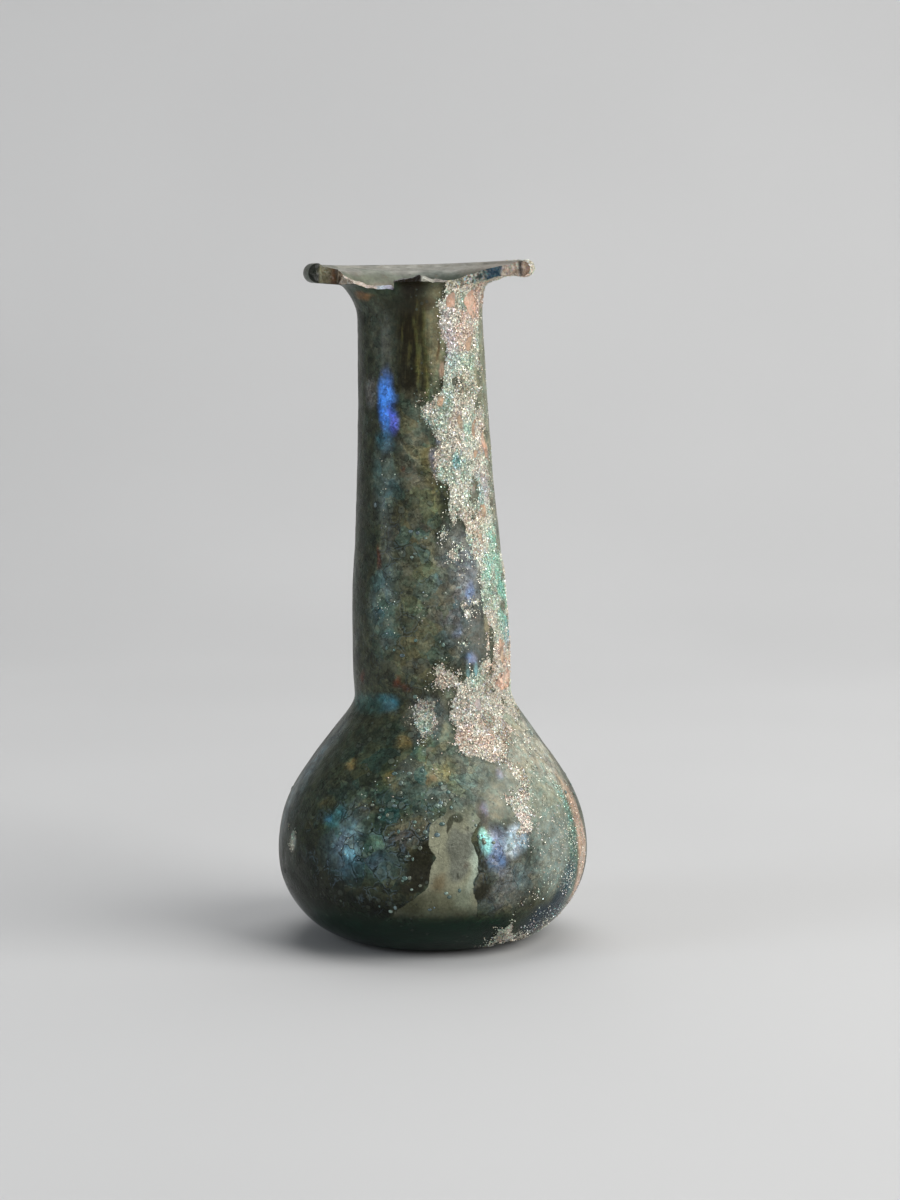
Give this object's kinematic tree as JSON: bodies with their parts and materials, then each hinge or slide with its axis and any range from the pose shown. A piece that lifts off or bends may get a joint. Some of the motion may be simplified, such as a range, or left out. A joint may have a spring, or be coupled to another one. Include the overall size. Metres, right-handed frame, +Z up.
{
  "type": "roman glass unguentarium",
  "caption": "Small hollow glass scent bottle with a pear-shaped body, a tall leaning tubular neck and a splayed folded rim broken away at the front, weathered and iridescent.",
  "frame": {"origin": "middle of the flat underside", "axes": "+Z up the bottle to the mouth, -Y towards the broken front of the rim, -X towards the side the neck leans to"},
  "size_m": [0.0508, 0.0504, 0.1103],
  "materials": {
    "weathered_glass": "blue-green glass under an olive and silvery weathering skin, iridescent, pitted and partly flaked to a pink-beige sparkling crust; clearer and glossier at the foot"
  },
  "bodies": {
    "root": {"glass_vessel": "weathered_glass"}
  },
  "joints": []
}
